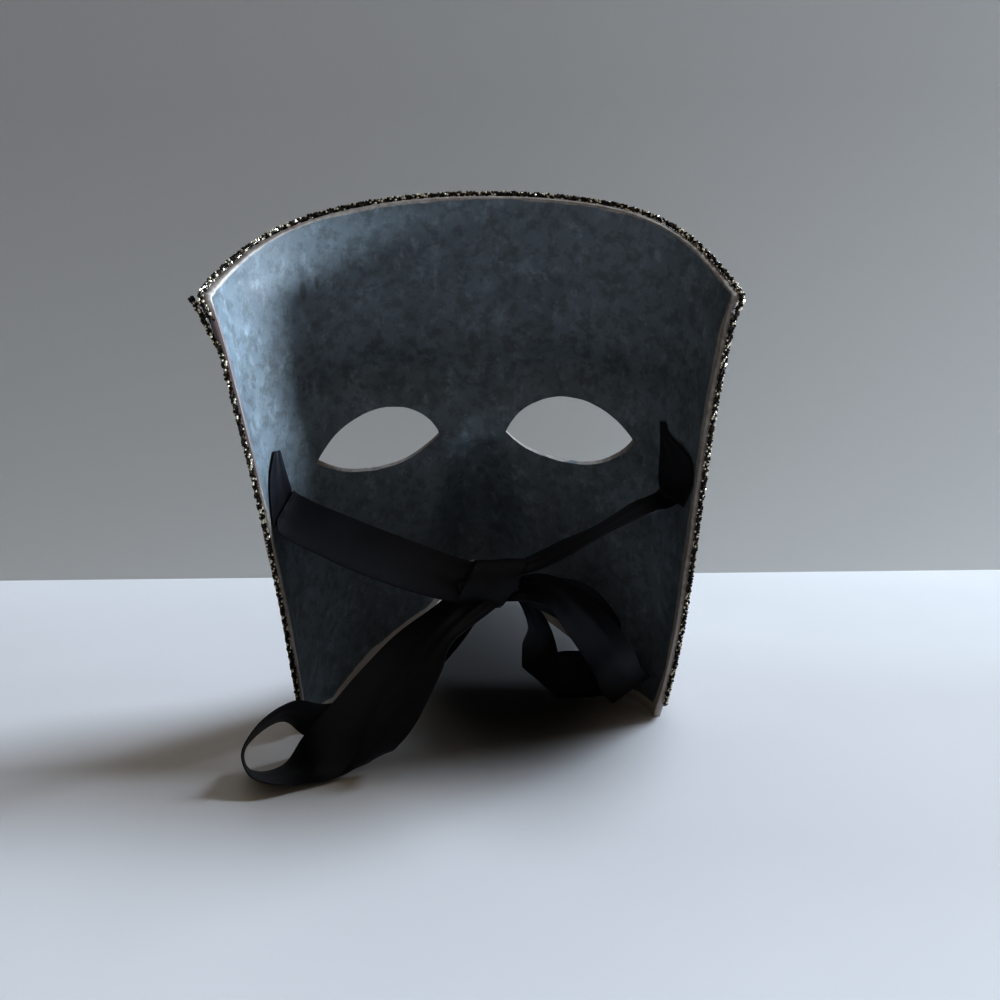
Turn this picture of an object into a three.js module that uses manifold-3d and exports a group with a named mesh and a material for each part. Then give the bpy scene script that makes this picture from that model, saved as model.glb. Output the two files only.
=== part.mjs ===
// A tall-browed harlequin half mask in papier-mache, standing on its two cheek tips as it is kept
// on a table, with a beaded braid glued round its outline and two satin ribbons tied in a bow.
// Millimetres, +Z up. The hollow inside faces -Y, the painted face +Y, and +X is to the right of
// someone who looks into the hollow. The origin is on the table, under the middle of the mask.
import * as THREE from 'three';
import { mergeVertices } from 'three/addons/utils/BufferGeometryUtils.js';
import Module from 'manifold-3d';

const wasm = await Module();
wasm.setup();

// Driving dimensions of the shell, in the mask's own upright frame: across, forward, up.
const shellThickness = 2.6;
const browDepth = 56;          // side edges to the brow, straight forward
const crownDepth = 50;         // the same at the top edge
const cheekDepth = 52;         // the same at the cheeks
const peakHeight = 174;        // rim ends to the middle of the top edge
const topDrop = {              // the top edge falls to its corners, and was cut a little uneven
  left: { slow: 10.5, fast: 8 },
  right: { slow: 7, fast: 14.3 },
};
const planPower = 2.3;         // 2 would be an ellipse in plan; more is squarer
const leanBack = 15;           // degrees, the way it balances on its cheek tips
const tipTrim = 1.5;           // the tips are worn flat on the table this far below the rim ends
const seat = { across: 2.2, back: -5.7, up: 1.5 };

// The mouth is cut as a pointed arch with a rounded crown.
const arch = { top: 31, slope: 0.69, round: 5 };

// The moulded nose and brows.
const nose = { bridgeUp: 88, tipUp: 44, rise: 19, bridgeHalf: 11, tipHalf: 24, lowDrop: 5 };
const brow = { up: 116, out: 35, reach: 27, rise: 3, half: 8, arch: 9 };
const socket = { up: 91, out: 34, reach: 23, half: 15, depth: 2.5 };

// Each eye hole is two curves between its corners: [across, up] of the corners and of the handles.
const eyes = {
  left: { a: [-56.6, 88.4], upper: [[-45.1, 108.6], [-17.8, 105.2]],
    b: [-14, 90.2], lower: [[-25.3, 78.1], [-43.6, 75.7]] },
  right: { a: [10.4, 90.2], upper: [[17.4, 108.9], [44.5, 109.4]],
    b: [54.3, 92.2], lower: [[45, 73], [20.9, 79.3]] },
};

// The braid is one strip, glued over the outer corner of the rim and on the face along the mouth.
const braid = { radius: 1.05, gap: 0.85, mouthGap: 1.2, step: 8, tipClear: 4.5, archClear: 2.4, sides: 8 };

// Satin ribbon. Its stations are hand-chosen pairs of points on its two edges: across and back
// from where the mask's own frame stands, and up from the table.
const ribbonThickness = 0.8;
const ribbonOffSkin = 0.85;    // from the shell to the glued ends
const knot = { at: [1.1, -21.5, 57.5], half: [11.5, 6.5, 7], split: 0.4 };

// A glued end lies on the inside of a temple: [how far forward, how far up] of its points.
const leftGlued = [
  [[15.5, 100], [19.3, 99]],
  [[8.7, 93.5], [20.3, 89.5]],
  [[3.6, 86], [20.8, 83.5]],
  [[1.5, 79], [20.4, 82.4]],
];
const rightGlued = [
  [[24.2, 103.5], [26.6, 103]],
  [[22.5, 100.5], [25.6, 96.3]],
  [[6.5, 96.7], [24.8, 88.8]],
  [[2.6, 90.3], [23.8, 82]],
  [[7.5, 79.5], [22.4, 79.2]],
];

// From each temple the ribbon crosses to the knot.
const leftBand = [
  [[-63.3, -4.5, 88], [-67.4, -18, 80.5]],
  [[-61.9, -3.4, 86.4], [-66.6, -20, 77.4]],
  [[-47.9, -7.5, 80.5], [-54.9, -24, 71.3]],
  [[-28.9, -12.5, 73.2], [-34.9, -28.5, 62.6]],
  [[-6.9, -17, 63], [-10.9, -28, 53.5]],
];
const rightBand = [
  [[61.4, -1.6, 84.5], [65.6, -10.4, 82]],
  [[60.1, -1.5, 83.2], [64.6, -11.8, 81]],
  [[52.1, -6.5, 81.3], [55.1, -24, 81.3]],
  [[38.6, -10.5, 74.4], [37.6, -28.8, 75.2]],
  [[24.1, -12.5, 68.8], [22.6, -30, 67]],
  [[6.1, -17, 62.5], [6.6, -27, 61]],
];

// The left loop runs down to the table, turns there on its edge, and comes back behind itself.
const leftLoop = [
  [[-5.9, -18, 59], [-0.9, -27, 52]],
  [[-17.9, -19, 50], [-7.9, -33, 44]],
  [[-29.9, -21, 42], [-16.9, -32, 33]],
  [[-42.9, -24, 32.5], [-29.9, -30, 20.5]],
  [[-52.4, -27, 22], [-38.9, -31, 9.5]],
  [[-60.9, -29.5, 11.5], [-48.4, -39, 2]],
  [[-67.9, -28.5, 1.3], [-59.9, -45, 2.2]],
  [[-74.4, -32.5, 0.9], [-68.9, -49.5, 5]],
  [[-78.9, -31, 1.8], [-74.9, -48.5, 7.5]],
  [[-80.5, -29, 5], [-77.5, -46, 12.5]],
  [[-78.9, -30, 9.5], [-75.9, -47, 18]],
  [[-73.9, -29.5, 14], [-70.9, -45.5, 24]],
  [[-67.9, -24, 14.5], [-62.4, -36.5, 26.3]],
  [[-60.9, -18.5, 7.5], [-53.9, -24.5, 24.2]],
  [[-48.9, -12, 9], [-38.9, -17.5, 24]],
  [[-31.9, -10, 26], [-20.9, -16, 40]],
  [[-11.9, -13, 47], [-4.9, -18, 58]],
];
const leftTail = [
  [[-5.9, -22, 56], [-1.9, -31, 49]],
  [[-15.9, -27, 48], [-10.4, -38, 43]],
  [[-22.9, -30, 40], [-13.9, -43, 37]],
  [[-30.9, -34, 28], [-17.4, -45, 27]],
  [[-36.9, -37, 17.5], [-22.4, -46, 20]],
  [[-43.4, -39, 7.5], [-29.4, -45, 13]],
  [[-49.4, -38, 0.8], [-34.4, -35.5, 7]],
];

// The right loop drops, folds on the table, and runs right before it returns behind the tail.
const rightLoopFront = [
  [[7.1, -19, 56], [12.1, -22, 60]],
  [[11.6, -17, 49], [18.1, -8, 51]],
  [[14.6, -9, 39], [23.1, 6, 35]],
  [[13.6, 6, 27], [27.6, 16.5, 20]],
  [[14.6, 19, 14], [28.6, 17.6, 0.9]],
];
const rightLoopBack = [
  [[15.3, 20, 14.6], [28.9, 17.4, 0.9]],
  [[28.6, 20.2, 18.8], [30.6, 18.4, 0.9]],
  [[39.1, 21.2, 18.6], [42.6, 19, 0.9]],
  [[47.6, 20.5, 20.5], [51.6, 20.5, 2]],
  [[51.2, 15.4, 29], [44.6, 18.5, 16]],
  [[49.1, 9, 38.5], [37.1, 12, 26]],
  [[36.6, 0, 50.5], [25.1, -1, 39]],
  [[18.1, -14, 58.5], [10.1, -16, 50.5]],
];
const rightTail = [
  [[10.1, -18, 59.5], [6.1, -28, 53.5]],
  [[17.1, -15, 60], [12.6, -29, 54]],
  [[26.1, -11, 57], [19.2, -26, 51]],
  [[36.6, -7, 48.8], [25, -18, 42]],
  [[45.9, -4, 37.5], [31.3, -9.5, 31]],
  [[52.6, -1, 26.5], [38.6, 0.5, 17.5]],
  [[56.8, 2.8, 17], [43.1, 8.2, 7]],
  [[60.9, 8.2, 12.2], [47.8, 12.2, 0.7]],
];

const degrees = Math.PI / 180;
const leanCos = Math.cos(leanBack * degrees);
const leanSin = Math.sin(leanBack * degrees);

// From the mask's own frame to the table: leaned back, then set down.
function stood(across, forward, up) {
  return new THREE.Vector3(
    across + seat.across,
    forward * leanCos - up * leanSin + seat.back,
    forward * leanSin + up * leanCos + seat.up,
  );
}

function smooth(from, to, value) {
  return THREE.MathUtils.smoothstep(value, from, to);
}

function bell(value, half) {
  return Math.exp(-((value / half) ** 2));
}

// Half the width of the shell at the side edges, left and right of its middle.
function halfWidth(side, up) {
  const u = THREE.MathUtils.clamp(up, -10, 155);
  if (side < 0) return 66.4 + 0.03 * u + 0.0004 * u * u;
  return 71 - 7.5 * Math.exp(-u / 35) + 4.9 * (u / 150) ** 5;
}

function depthAt(up) {
  return browDepth - (browDepth - cheekDepth) * (1 - smooth(46, 106, up))
    - (browDepth - crownDepth) * smooth(116, 176, up);
}

// How far nose, brows and eye sockets stand out of the plain curved sheet.
function relief(across, up) {
  const along = THREE.MathUtils.clamp((nose.bridgeUp - up) / (nose.bridgeUp - nose.tipUp), 0, 1.6);
  const half = nose.bridgeHalf + (nose.tipHalf - nose.bridgeHalf) * Math.min(along, 1);
  const inside = Math.max(0, 1 - (across / half) ** 2);
  const ridge = along <= 1 ? nose.rise * along ** 0.9 : nose.rise - nose.lowDrop * (along - 1) / 0.6;
  const out = Math.abs(across);
  const browUp = brow.up - brow.arch * ((out - brow.out) / 30) ** 2;
  const brows = brow.rise * bell(up - browUp, brow.half) * bell(out - brow.out, brow.reach);
  const sockets = socket.depth * bell(up - socket.up, socket.half) * bell(out - socket.out, socket.reach);
  return ridge * inside ** 1.4 + brows - sockets;
}

// A point of the outside of the shell: turn runs from -90 at the left edge to 90 at the right.
function outside(turn, up) {
  const s = Math.sin(turn);
  const across = halfWidth(s, up) * Math.sign(s) * Math.abs(s) ** (2 / planPower);
  const forward = Math.cos(turn) * depthAt(up);
  return new THREE.Vector3(across, forward + relief(across, up) * smooth(0, 0.5, Math.cos(turn)), up);
}

function outward(turn, up) {
  const step = 0.002;
  const alongTurn = outside(turn + step, up).sub(outside(turn - step, up));
  const alongUp = outside(turn, up + 0.5).sub(outside(turn, up - 0.5));
  return alongUp.cross(alongTurn).normalize();
}

function inside(turn, up) {
  const away = outward(turn, up).multiplyScalar(shellThickness);
  return outside(turn, up).sub(away);
}

// The top edge falls slowly from its peak, and fast near the corners.
function topEdge(turn) {
  const drop = turn < 0 ? topDrop.left : topDrop.right;
  const share = Math.abs(Math.sin(turn)) ** (2 / planPower);
  return peakHeight - drop.slow * share ** 2 - drop.fast * share ** 7;
}

// The bottom edge is the arch, and the table's level where the arch would go below it.
function archEdge(across) {
  return arch.top - Math.hypot(arch.slope * across, arch.round);
}

function tableLevel(forward) {
  return -(forward * leanSin + tipTrim) / leanCos;
}

function bottomEdge(turn, below = 0) {
  let up = 0;
  for (let pass = 0; pass < 6; pass += 1) {
    const at = outside(turn, up);
    up = Math.max(archEdge(at.x), tableLevel(at.y) - below);
  }
  return up;
}

// A closed body from rows of points: the outer skin, the inner skin, and the edge between them.
function closedSheet(columns, rows, outerAt, innerAt) {
  const positions = [];
  const index = [];
  const put = (p) => positions.push(p.x, p.y, p.z);
  for (let i = 0; i <= columns; i += 1) for (let j = 0; j <= rows; j += 1) put(outerAt(i, j));
  for (let i = 0; i <= columns; i += 1) for (let j = 0; j <= rows; j += 1) put(innerAt(i, j));
  const span = rows + 1;
  const inner = (columns + 1) * span;
  const quad = (a, b, c, d) => index.push(a, b, c, a, c, d);
  for (let i = 0; i < columns; i += 1) {
    for (let j = 0; j < rows; j += 1) {
      const k = i * span + j;
      quad(k, k + 1, k + span + 1, k + span);
      quad(inner + k, inner + k + span, inner + k + span + 1, inner + k + 1);
    }
  }
  for (let i = 0; i < columns; i += 1) {
    const low = i * span;
    const high = low + rows;
    quad(low, low + span, inner + low + span, inner + low);
    quad(high, inner + high, inner + high + span, high + span);
  }
  for (let j = 0; j < rows; j += 1) {
    const first = j;
    const last = columns * span + j;
    quad(first, inner + first, inner + first + 1, first + 1);
    quad(last, last + 1, inner + last + 1, inner + last);
  }
  const geometry = new THREE.BufferGeometry();
  geometry.setAttribute('position', new THREE.Float32BufferAttribute(positions, 3));
  geometry.setIndex(index);
  return geometry;
}

function toManifold(geometry) {
  const bare = geometry.clone();
  bare.deleteAttribute('normal');
  bare.deleteAttribute('uv');
  const merged = mergeVertices(bare, 1e-4);
  return new wasm.Manifold(new wasm.Mesh({
    numProp: 3,
    vertProperties: new Float32Array(merged.attributes.position.array),
    triVerts: new Uint32Array(merged.index.array),
  }));
}

function toGeometry(solid) {
  const mesh = solid.getMesh();
  const geometry = new THREE.BufferGeometry();
  geometry.setAttribute('position', new THREE.BufferAttribute(mesh.vertProperties, 3));
  geometry.setIndex(new THREE.BufferAttribute(mesh.triVerts, 1));
  return geometry;
}

// The shell, with the eye holes cut straight through it and the tips cut level with the table.
function shellGeometry() {
  const columns = 46;
  const rows = 22;
  const turnOf = (i) => (i / columns - 0.5) * Math.PI;
  const upOf = (turn, j) => THREE.MathUtils.lerp(bottomEdge(turn, 2), topEdge(turn), j / rows);
  const place = (skin) => (i, j) => {
    const turn = turnOf(i);
    const p = skin(turn, upOf(turn, j));
    return stood(p.x, p.y, p.z);
  };
  let solid = toManifold(closedSheet(columns, rows, place(outside), place(inside)));
  for (const eye of Object.values(eyes)) solid = solid.subtract(toManifold(eyePrism(eye)));
  const underTable = new THREE.BoxGeometry(300, 300, 40).translate(0, 0, -20);
  return toGeometry(solid.subtract(toManifold(underTable)));
}

// A point of the outer skin on the outline, with the way off the skin and the way off the edge.
function rimPoint(turn, up, edgeWay, overEdge, inset = 0) {
  const lift = braid.radius + (inset ? braid.mouthGap : braid.gap);
  const off = outward(turn, up);
  const over = edgeWay.clone().addScaledVector(off, -edgeWay.dot(off)).normalize();
  const p = outside(turn, up).addScaledVector(over, -inset);
  const aside = off.multiplyScalar(1 - overEdge / 2).addScaledVector(over, overEdge / 2);
  return p.addScaledVector(aside.normalize(), lift);
}

// The braid's run: across the top, down the right side, round the mouth and up the left side.
function braidPath() {
  const right = Math.PI / 2;
  const points = [];
  const add = (p) => points.push(stood(p.x, p.y, p.z));
  const upward = new THREE.Vector3(0, 0, 1);
  const sideways = new THREE.Vector3(0, -1, 0);
  const leftCorner = topEdge(-right);
  const rightCorner = topEdge(right);
  const start = leftCorner - 7;
  add(rimPoint(-right, start, sideways, 1));
  add(rimPoint(-right, leftCorner - 1, sideways.clone().add(upward), 1));
  const topSteps = 30;
  for (let i = 1; i < topSteps; i += 1) {
    const turn = (i / topSteps - 0.5) * Math.PI;
    add(rimPoint(turn, topEdge(turn), upward, 1));
  }
  add(rimPoint(right, rightCorner - 1, sideways.clone().add(upward), 1));
  const sideSteps = 19;
  for (let i = 0; i <= sideSteps; i += 1) {
    const up = THREE.MathUtils.lerp(rightCorner - 8, braid.tipClear + 1, i / sideSteps);
    add(rimPoint(right, up, sideways, 1));
  }
  const mouthSteps = 27;
  for (let i = 0; i <= mouthSteps; i += 1) {
    const turn = THREE.MathUtils.lerp(right - 0.1, -right + 0.1, i / mouthSteps);
    const across = outside(turn, 0).x;
    const edge = Math.max(archEdge(across), tableLevel(outside(turn, 0).y) + braid.tipClear - 3);
    add(rimPoint(turn, edge, upward.clone().negate(), 0, braid.archClear));
  }
  for (let i = 0; i <= sideSteps; i += 1) {
    const up = THREE.MathUtils.lerp(braid.tipClear + 1, start - 7, i / sideSteps);
    add(rimPoint(-right, up, sideways, 1));
  }
  // The end is lapped beside the start, on the face.
  add(rimPoint(-right + 0.05, start - 1, sideways, 0));
  add(rimPoint(-right + 0.07, start + 5, sideways, 0));
  return new THREE.CatmullRomCurve3(points, false, 'centripetal');
}

function braidGeometry() {
  const path = braidPath();
  const section = new THREE.Shape().absarc(0, 0, braid.radius, 0, 2 * Math.PI, false);
  return new THREE.ExtrudeGeometry(section, {
    extrudePath: path,
    steps: Math.round(path.getLength() / braid.step),
    curveSegments: braid.sides / 2,
  });
}

function eyePrism(eye) {
  const outline = new THREE.Shape();
  outline.moveTo(...eye.a);
  outline.bezierCurveTo(...eye.upper[0], ...eye.upper[1], ...eye.b);
  outline.bezierCurveTo(...eye.lower[0], ...eye.lower[1], ...eye.a);
  const prism = new THREE.ExtrudeGeometry(outline, { depth: 90, bevelEnabled: false, curveSegments: 9 });
  const across = new THREE.Vector3(1, 0, 0);
  const up = stood(0, 0, 1).sub(stood(0, 0, 0));
  const back = across.clone().cross(up);
  const turned = new THREE.Matrix4().makeBasis(across, up, back);
  turned.setPosition(stood(0, 95, 0));
  return prism.applyMatrix4(turned);
}

function onTable([across, back, up]) {
  return new THREE.Vector3(across + seat.across, back + seat.back, up);
}

// A ribbon through pairs of edge points, as a closed body of the ribbon's thickness.
function ribbonStrip(stations, perSpan = 2) {
  const edges = [0, 1].map((side) => new THREE.CatmullRomCurve3(
    stations.map((pair) => pair[side]), false, 'centripetal'));
  const columns = (stations.length - 1) * perSpan;
  const at = (i, side) => edges[side].getPoint(i / columns);
  const normalAt = (i) => {
    const along = at(Math.min(i + 1, columns), 0).add(at(Math.min(i + 1, columns), 1))
      .sub(at(Math.max(i - 1, 0), 0)).sub(at(Math.max(i - 1, 0), 1));
    return along.cross(at(i, 1).sub(at(i, 0))).normalize();
  };
  const skin = (way) => (i, j) => at(i, j).addScaledVector(normalAt(i), way * ribbonThickness / 2);
  return toManifold(closedSheet(columns, 1, skin(-1), skin(1)));
}

// The stations of a glued end, on the inner skin of the left (-1) or right (1) temple.
function gluedStations(side, pairs) {
  const onSkin = ([forward, up]) => {
    const turn = side * Math.acos(forward / depthAt(up));
    const away = shellThickness + ribbonOffSkin + ribbonThickness / 2;
    const p = outside(turn, up).addScaledVector(outward(turn, up), -away);
    return stood(p.x, p.y, p.z);
  };
  return pairs.map((pair) => pair.map(onSkin));
}

// Half of the knot: a rounded lump, cut by the plane between the two ribbons.
function knotHalf(side) {
  const at = onTable(knot.at);
  const lump = new THREE.SphereGeometry(1, 14, 9).scale(...knot.half).translate(at.x, at.y, at.z);
  const cutter = new THREE.BoxGeometry(60, 60, 60)
    .translate(at.x - side * (30 - knot.split / 2), at.y, at.z);
  return toManifold(lump).subtract(toManifold(cutter));
}

const papier = new THREE.MeshStandardMaterial({ color: 0x39424b, roughness: 0.7, metalness: 0 });

const object = new THREE.Group();
const mask = new THREE.Mesh(shellGeometry(), papier);
mask.name = 'mask_shell';
object.add(mask);

const gilt = new THREE.MeshStandardMaterial({ color: 0x8a7a52, roughness: 0.35, metalness: 0.8 });
const trim = new THREE.Mesh(braidGeometry(), gilt);
trim.name = 'edge_braid';
object.add(trim);

const satin = new THREE.MeshStandardMaterial({ color: 0x16161c, roughness: 0.4, metalness: 0 });
for (const [name, side, glued, strips] of [
  ['ribbon_left', -1, leftGlued, [leftBand, leftLoop, leftTail]],
  ['ribbon_right', 1, rightGlued, [rightBand, rightLoopFront, rightLoopBack, rightTail]],
]) {
  const laid = strips.map((stations) => stations.map((pair) => pair.map(onTable)));
  const parts = [gluedStations(side, glued), ...laid].map((stations) => ribbonStrip(stations));
  const mesh = new THREE.Mesh(toGeometry(wasm.Manifold.union([knotHalf(side), ...parts])), satin);
  mesh.name = name;
  object.add(mesh);
}

export default object;
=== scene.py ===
# %% [markdown]
# # A papier-mache half mask, seen from inside
#
# The mask stands on its two cheek tips with its hollow towards us. A moulder pressed wet paper
# into a plaster form, trimmed it, painted it, glued a beaded braid round its edge, and tied two
# satin ribbons in a bow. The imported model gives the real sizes, in metres, with +Z up and -Y
# towards the hollow's side. Everything below is made to fit it.

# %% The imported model
import math
import bmesh
import bpy
import numpy as np
from mathutils import Matrix, Vector
from mathutils.kdtree import KDTree


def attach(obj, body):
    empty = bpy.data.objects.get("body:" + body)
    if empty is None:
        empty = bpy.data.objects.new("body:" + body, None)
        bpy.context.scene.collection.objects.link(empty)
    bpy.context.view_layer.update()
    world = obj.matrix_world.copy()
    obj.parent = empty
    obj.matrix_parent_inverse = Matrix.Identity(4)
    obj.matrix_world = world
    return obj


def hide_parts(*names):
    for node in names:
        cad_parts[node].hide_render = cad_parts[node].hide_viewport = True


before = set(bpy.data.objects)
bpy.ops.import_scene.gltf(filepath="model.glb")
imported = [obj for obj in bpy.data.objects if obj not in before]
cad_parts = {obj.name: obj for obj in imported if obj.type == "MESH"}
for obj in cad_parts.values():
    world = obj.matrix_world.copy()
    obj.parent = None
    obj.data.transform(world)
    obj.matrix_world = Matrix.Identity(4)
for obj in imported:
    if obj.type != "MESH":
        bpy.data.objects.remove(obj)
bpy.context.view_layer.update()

MM = 0.001
scene = bpy.context.scene

# %% [markdown]
# ## The camera
#
# A moulded shell has few straight lines, so the camera was found from the outline, the eye holes
# and the table's edge together. It is easiest to say in the mask's own upright frame, before the
# mask is leaned back: how far across, forward and up the lens is, and how far it looks down.
# A 36 mm lens on a 36 mm wide frame sees one unit across at one unit of distance.

# %% Stand the mask's own frame on the table
LEAN = math.radians(15)
SEAT = Vector((2.2, -5.7, 1.5))
LEANED = Matrix.Rotation(LEAN, 3, "X")


def stood(p):
    """From the mask's own frame, in mm, to the table, in metres."""
    return (LEANED @ Vector(p) + SEAT) * MM


# %% The camera at the photograph's place
LOOK_DOWN = math.radians(26)
TURN_RIGHT = math.radians(3.92)
LENS = (-15.0, -287.9, 228.5)
lens_at = stood(LENS)
right = Vector((math.cos(TURN_RIGHT), -math.sin(TURN_RIGHT), 0))
level = Vector((math.sin(TURN_RIGHT), math.cos(TURN_RIGHT), 0))
ahead = level * math.cos(LOOK_DOWN) - Vector((0, 0, math.sin(LOOK_DOWN)))
above = level * math.sin(LOOK_DOWN) + Vector((0, 0, math.cos(LOOK_DOWN)))
axes = LEANED @ Matrix((right, above, -ahead)).transposed()

camera = bpy.data.objects.new("camera", bpy.data.cameras.new("camera"))
scene.collection.objects.link(camera)
camera.matrix_world = Matrix.Translation(lens_at) @ axes.to_4x4()
camera.data.lens = 36
camera.data.sensor_width = 36
camera.data.clip_start = 0.01
scene.camera = camera
print("camera at, mm:", [round(v / MM, 1) for v in lens_at])

# %% [markdown]
# ## The sheet's shape
#
# The shell is a curved sheet whose plan is a little squarer than half an ellipse, with a nose,
# brows and eye sockets raised in it. These are the same sizes and formulas as the solid's, in mm,
# but worked on whole arrays of points, so that the sheet can be fine enough to look moulded.

# %% Sizes of the shell
THICK = 2.6
BROW_DEPTH, CROWN_DEPTH, CHEEK_DEPTH = 56, 50, 52
PEAK = 174
PLAN_POWER = 2.3
TIP_TRIM = 1.5
TOP_DROP = {-1: (10.5, 8), 1: (7, 14.3)}
ARCH = dict(top=31, slope=0.69, round=5)
NOSE = dict(bridge_up=88, tip_up=44, rise=19, bridge_half=11, tip_half=24, low_drop=5)
BROW = dict(up=116, out=35, reach=27, rise=3, half=8, arch=9)
SOCKET = dict(up=91, out=34, reach=23, half=15, depth=2.5)
EYES = {
    "left": ((-56.6, 88.4), (-45.1, 108.6), (-17.8, 105.2), (-14, 90.2), (-25.3, 78.1), (-43.6, 75.7)),
    "right": ((10.4, 90.2), (17.4, 108.9), (44.5, 109.4), (54.3, 92.2), (45, 73), (20.9, 79.3)),
}


# %% The sheet's formulas
def smooth(low, high, value):
    t = np.clip((value - low) / (high - low), 0, 1)
    return t * t * (3 - 2 * t)


def bell(value, half):
    return np.exp(-(value / half) ** 2)


def half_width(side, up):
    u = np.clip(up, -10, 155)
    left = 66.4 + 0.03 * u + 0.0004 * u * u
    right_half = 71 - 7.5 * np.exp(-u / 35) + 4.9 * (u / 150) ** 5
    return np.where(side < 0, left, right_half)


def depth_at(up):
    cheeks = (BROW_DEPTH - CHEEK_DEPTH) * (1 - smooth(46, 106, up))
    crown = (BROW_DEPTH - CROWN_DEPTH) * smooth(116, 176, up)
    return BROW_DEPTH - cheeks - crown


def relief(across, up):
    along = np.clip((NOSE["bridge_up"] - up) / (NOSE["bridge_up"] - NOSE["tip_up"]), 0, 1.6)
    half = NOSE["bridge_half"] + (NOSE["tip_half"] - NOSE["bridge_half"]) * np.minimum(along, 1)
    within = np.maximum(0, 1 - (across / half) ** 2)
    ridge = np.where(along <= 1, NOSE["rise"] * along ** 0.9,
                     NOSE["rise"] - NOSE["low_drop"] * (along - 1) / 0.6)
    out = np.abs(across)
    brow_up = BROW["up"] - BROW["arch"] * ((out - BROW["out"]) / 30) ** 2
    brows = BROW["rise"] * bell(up - brow_up, BROW["half"]) * bell(out - BROW["out"], BROW["reach"])
    sockets = (SOCKET["depth"] * bell(up - SOCKET["up"], SOCKET["half"])
               * bell(out - SOCKET["out"], SOCKET["reach"]))
    return ridge * within ** 1.4 + brows - sockets


def outside(turn, up):
    s = np.sin(turn)
    across = half_width(s, up) * np.sign(s) * np.abs(s) ** (2 / PLAN_POWER)
    front = np.cos(turn)
    forward = front * depth_at(up) + relief(across, up) * smooth(0, 0.5, front)
    return np.stack([across, forward, up + 0 * across], -1)


def outward(turn, up):
    along_turn = outside(turn + 0.002, up) - outside(turn - 0.002, up)
    along_up = outside(turn, up + 0.5) - outside(turn, up - 0.5)
    n = np.cross(along_up, along_turn)
    return n / np.linalg.norm(n, axis=-1, keepdims=True)


def top_edge(turn):
    share = np.abs(np.sin(turn)) ** (2 / PLAN_POWER)
    slow = np.where(turn < 0, TOP_DROP[-1][0], TOP_DROP[1][0])
    fast = np.where(turn < 0, TOP_DROP[-1][1], TOP_DROP[1][1])
    return PEAK - slow * share ** 2 - fast * share ** 7


def arch_edge(across):
    return ARCH["top"] - np.hypot(ARCH["slope"] * across, ARCH["round"])


def table_level(forward):
    return -(forward * math.sin(LEAN) + TIP_TRIM) / math.cos(LEAN)


def bottom_edge(turn, below=0):
    up = 0 * turn
    for _ in range(6):
        at = outside(turn, up)
        up = np.maximum(arch_edge(at[..., 0]), table_level(at[..., 1]) - below)
    return up


def stood_all(points):
    """Many points of the mask's own frame, set on the table, in metres."""
    turned = points @ np.array(LEANED).T + np.array(SEAT)
    return turned * MM


print("half widths at the brow, mm:", half_width(-1, 150), half_width(1, 150))

# %% [markdown]
# ## A grid of points becomes a closed sheet
#
# Hand-made paper has a rounded edge, not a knife cut. So each column of points runs down the
# outside, round the edge in a few steps, and back up the inside. One grid of quads that closes
# on itself in both directions has no seams to mend. Every point keeps two numbers for the paint:
# which skin it is on, and how far it is from the margin that was left raw.


# %% Mesh helpers
def mesh_object(name, points, faces, material):
    mesh = bpy.data.meshes.new(name)
    mesh.from_pydata([tuple(p) for p in points], [], faces)
    mesh.validate()
    mesh.update()
    obj = bpy.data.objects.new(name, mesh)
    scene.collection.objects.link(obj)
    mesh.materials.append(material)
    return obj


def keep_number(obj, name, values):
    """Store one number a point for the materials to read."""
    layer = obj.data.attributes.new(name, "FLOAT", "POINT")
    layer.data.foreach_set("value", np.asarray(values, dtype=np.float32))


def smooth_shading(obj, sharp_degrees=40):
    obj.data.shade_smooth()
    obj.data.set_sharp_from_angle(angle=math.radians(sharp_degrees))


def baked(obj):
    """The object with its modifiers worked into a plain mesh."""
    graph = bpy.context.evaluated_depsgraph_get()
    mesh = bpy.data.meshes.new_from_object(obj.evaluated_get(graph))
    obj.modifiers.clear()
    old = obj.data
    obj.data = mesh
    mesh.name = obj.name
    if old.users == 0:
        bpy.data.meshes.remove(old)
    return obj


def waves(x, seed, count=7, longest=1.0):
    """A smooth wandering line between about -1 and 1, the same each time."""
    rng = np.random.default_rng(seed)
    total = 0 * np.asarray(x, dtype=float)
    for k in range(count):
        total = total + np.sin(2 * math.pi * x / (longest / (k + 1)) + rng.uniform(0, 6.28)) / (k + 1)
    return total / 1.6


# %% [markdown]
# ## Paint and paper
#
# The inside was brushed with thin slate-blue acrylic over white primer, so it is cloudy, and the
# brush marks catch the light. The margin was left raw: off-white, faintly pink, a little furry
# where the paper was cut. The border between them was painted freehand, so a noise pushes it in
# and out. The painted face keeps the harlequin's lozenges, plain and slightly worn.


# %% Node helpers
def new_material(name):
    material = bpy.data.materials.new(name)
    material.use_nodes = True
    tree = material.node_tree
    shader = tree.nodes["Principled BSDF"]
    return material, tree, shader


def joined(tree, kind, links, **settings):
    """A node with its settings, and its inputs linked or set."""
    made = tree.nodes.new(kind)
    for key, value in settings.items():
        setattr(made, key, value)
    for key, value in links.items():
        if isinstance(value, bpy.types.NodeSocket):
            tree.links.new(value, made.inputs[key])
        else:
            made.inputs[key].default_value = value
    return made


def places_on(tree):
    return tree.nodes.new("ShaderNodeTexCoord").outputs["Object"]


def noise(tree, vector, scale, detail=3.0, roughness=0.55):
    inputs = {"Vector": vector, "Scale": scale, "Detail": detail, "Roughness": roughness}
    return joined(tree, "ShaderNodeTexNoise", inputs).outputs["Fac"]


def ramp(tree, value, low, high, dark, pale):
    """Colour that goes from dark to pale as value goes from low to high."""
    made = joined(tree, "ShaderNodeValToRGB", {"Fac": value})
    for element, at, colour in zip(made.color_ramp.elements, (low, high), (dark, pale)):
        element.position = at
        element.color = (*colour, 1)
    return made.outputs["Color"]


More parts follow.
